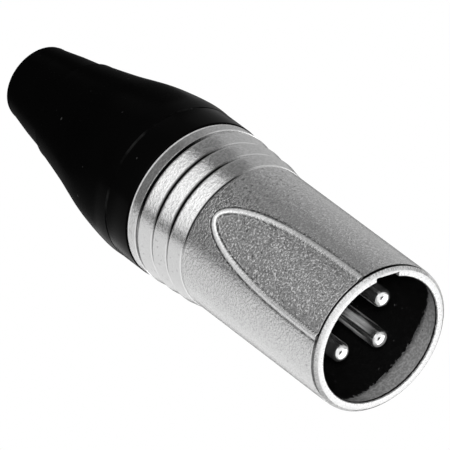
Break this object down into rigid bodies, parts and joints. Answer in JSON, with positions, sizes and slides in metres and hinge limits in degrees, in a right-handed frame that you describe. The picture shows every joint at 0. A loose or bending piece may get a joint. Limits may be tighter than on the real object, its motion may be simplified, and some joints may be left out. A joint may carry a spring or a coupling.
{
  "type": "xlr plug",
  "caption": "Round male audio cable plug with a metal shell, round contact pins in an open mouth, a screwed bushing and a soft tapered cable boot.",
  "frame": {"origin": "centre of the mouth's front face, on which the plug stands", "axes": "+Z from the mouth to the cable end, -Y towards the side of the shell with the arch, +X towards pin 2"},
  "size_m": [0.0208, 0.0208, 0.068],
  "materials": {
    "satin_nickel": "satin nickel plating on a die-cast shell",
    "bright_contact": "bright silver plating",
    "black_plastic": "moulded black plastic",
    "black_rubber": "soft black sleeve"
  },
  "bodies": {
    "housing": {"shell": "satin_nickel", "insert": "black_plastic", "pin_1": "bright_contact", "pin_2": "bright_contact", "pin_3": "bright_contact"},
    "collet": {"chuck": "black_plastic"},
    "back_nut": {"bushing": "black_plastic", "boot": "black_rubber"}
  },
  "joints": [
    {"name": "chuck_draw", "type": "slide", "parent": "housing", "child": "collet", "axis": [0, 0, 1], "range_m": [0, 0.004]},
    {"name": "bushing_turn", "type": "hinge", "parent": "collet", "child": "back_nut", "pos_m": [0, 0, 0.036], "axis": [0, 0, 1], "range_deg": [0, 1440]}
  ],
  "couplings": [
    {"joint": "chuck_draw", "follows": "bushing_turn", "m_per_rad": 0.00015915}
  ]
}
